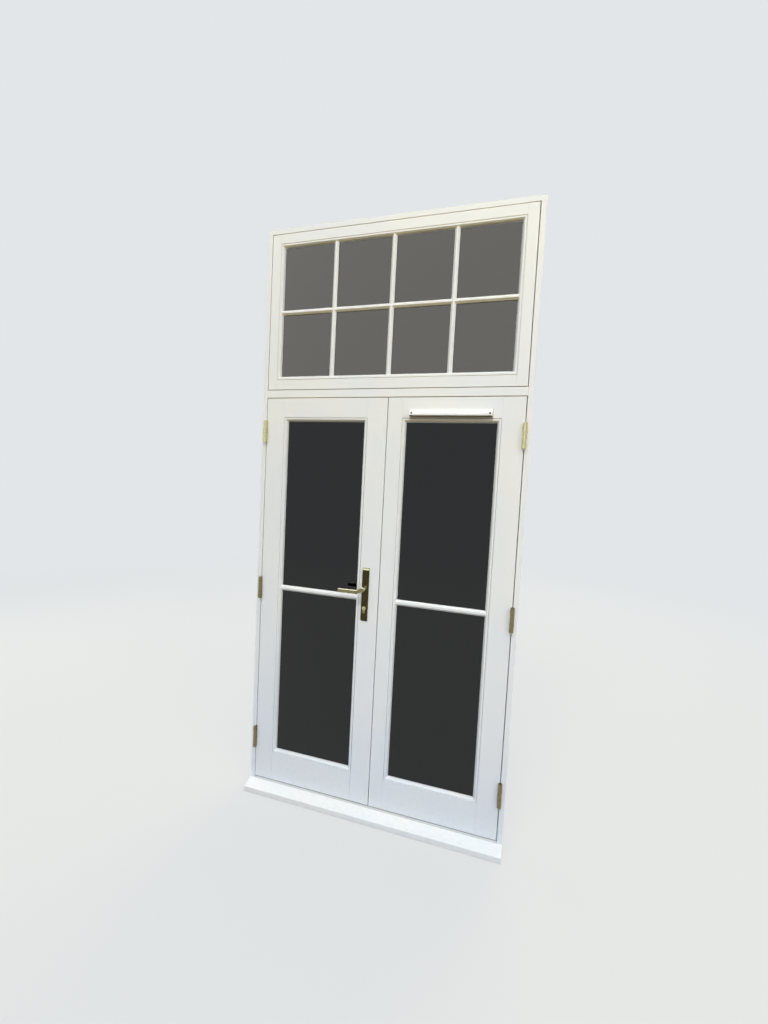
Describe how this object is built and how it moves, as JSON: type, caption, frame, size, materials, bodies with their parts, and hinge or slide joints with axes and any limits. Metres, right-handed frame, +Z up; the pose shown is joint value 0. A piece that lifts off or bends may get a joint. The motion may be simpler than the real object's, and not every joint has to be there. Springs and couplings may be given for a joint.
{
  "type": "french doors",
  "caption": "Outward-opening pair of glazed timber doors under a fixed barred toplight, in a frame with a sloping sill, with lever lock, flush bolts and a trickle vent",
  "frame": {"origin": "middle of the sill's underside across the width, in the plane of the frame's outside face", "axes": "X to the right seen from outside, Y from the outside into the room, Z up"},
  "size_m": [1.22, 0.166, 2.68],
  "materials": {
    "painted_timber": "satin paint",
    "polished_brass": "polished",
    "clear_glass": "clear",
    "spacer_bar": "matte",
    "seal_rubber": "matte",
    "lock_steel": "zinc plated",
    "vent_plastic": "satin"
  },
  "bodies": {
    "frame": {"jamb_left": "painted_timber", "jamb_right": "painted_timber", "head": "painted_timber", "transom": "painted_timber", "sill": "painted_timber", "frame_seals": "seal_rubber", "toplight_stile_left": "painted_timber", "toplight_stile_right": "painted_timber", "toplight_rail_top": "painted_timber", "toplight_rail_bottom": "painted_timber", "toplight_beads": "painted_timber", "toplight_bars_outer": "painted_timber", "toplight_bars_inner": "painted_timber", "toplight_glass": "clear_glass", "toplight_spacer": "spacer_bar", "hinge_frame_leaves_left": "polished_brass", "hinge_frame_leaves_right": "polished_brass", "hinge_pins": "polished_brass", "bolt_keeps": "polished_brass"},
    "left_door": {"left_stile_hinge": "painted_timber", "left_stile_meeting": "painted_timber", "left_rail_top": "painted_timber", "left_rail_bottom": "painted_timber", "left_beads": "painted_timber", "left_bars": "painted_timber", "left_glass": "clear_glass", "left_spacer": "spacer_bar", "hinge_door_leaves_left": "polished_brass", "backplate_outer": "polished_brass", "backplate_inner": "polished_brass", "handle_bolts": "polished_brass", "cylinder_body": "polished_brass", "key_plug": "polished_brass", "lock_case": "lock_steel", "lock_faceplate": "polished_brass"},
    "lever": {"lever_outer": "polished_brass", "lever_inner": "polished_brass", "spindle": "lock_steel", "lock_follower": "lock_steel"},
    "thumbturn": {"thumbturn": "polished_brass"},
    "latch_bolt": {"latch_bolt": "polished_brass"},
    "dead_bolt": {"dead_bolt": "polished_brass"},
    "right_door": {"right_stile_hinge": "painted_timber", "right_stile_meeting": "painted_timber", "right_rail_top": "painted_timber", "right_rail_bottom": "painted_timber", "right_beads": "painted_timber", "right_bars": "painted_timber", "right_glass": "clear_glass", "right_spacer": "spacer_bar", "hinge_door_leaves_right": "polished_brass", "strike_plate": "polished_brass", "meeting_seal": "seal_rubber", "vent_canopy": "vent_plastic", "vent_controller": "vent_plastic", "flush_bolt_plates": "polished_brass"},
    "flush_bolt_top": {"flush_bolt_top": "polished_brass"},
    "flush_bolt_bottom": {"flush_bolt_bottom": "polished_brass"},
    "vent_shutter": {"vent_shutter": "vent_plastic"}
  },
  "joints": [
    {"name": "left_door_swing", "type": "hinge", "parent": "frame", "child": "left_door", "pos_m": [-0.5875, -0.01025, 0], "axis": [0, 0, -1], "range_deg": [0, 95]},
    {"name": "right_door_swing", "type": "hinge", "parent": "frame", "child": "right_door", "pos_m": [0.5875, -0.01025, 0], "axis": [0, 0, 1], "range_deg": [0, 95]},
    {"name": "lever_turn", "type": "hinge", "parent": "left_door", "child": "lever", "pos_m": [-0.052, 0.0285, 1.064], "axis": [0, -1, 0], "range_deg": [0, 38], "stiffness_Nm_per_rad": 0.9, "springref_deg": -34.38},
    {"name": "thumbturn_turn", "type": "hinge", "parent": "left_door", "child": "thumbturn", "pos_m": [-0.052, 0.0285, 0.972], "axis": [0, 1, 0], "range_deg": [0, 360]},
    {"name": "dead_bolt_slide", "type": "slide", "parent": "left_door", "child": "dead_bolt", "axis": [1, 0, 0], "range_m": [0, 0.02]},
    {"name": "latch_bolt_slide", "type": "slide", "parent": "left_door", "child": "latch_bolt", "axis": [1, 0, 0], "range_m": [0, 0.012]},
    {"name": "flush_bolt_top_slide", "type": "slide", "parent": "right_door", "child": "flush_bolt_top", "axis": [0, 0, 1], "range_m": [0, 0.018]},
    {"name": "flush_bolt_bottom_slide", "type": "slide", "parent": "right_door", "child": "flush_bolt_bottom", "axis": [0, 0, -1], "range_m": [0, 0.018]},
    {"name": "vent_shutter_slide", "type": "slide", "parent": "right_door", "child": "vent_shutter", "axis": [1, 0, 0], "range_m": [0, 0.008]}
  ],
  "couplings": [
    {"joint": "thumbturn_turn", "follows": "dead_bolt_slide", "rad_per_m": 314.16}
  ]
}
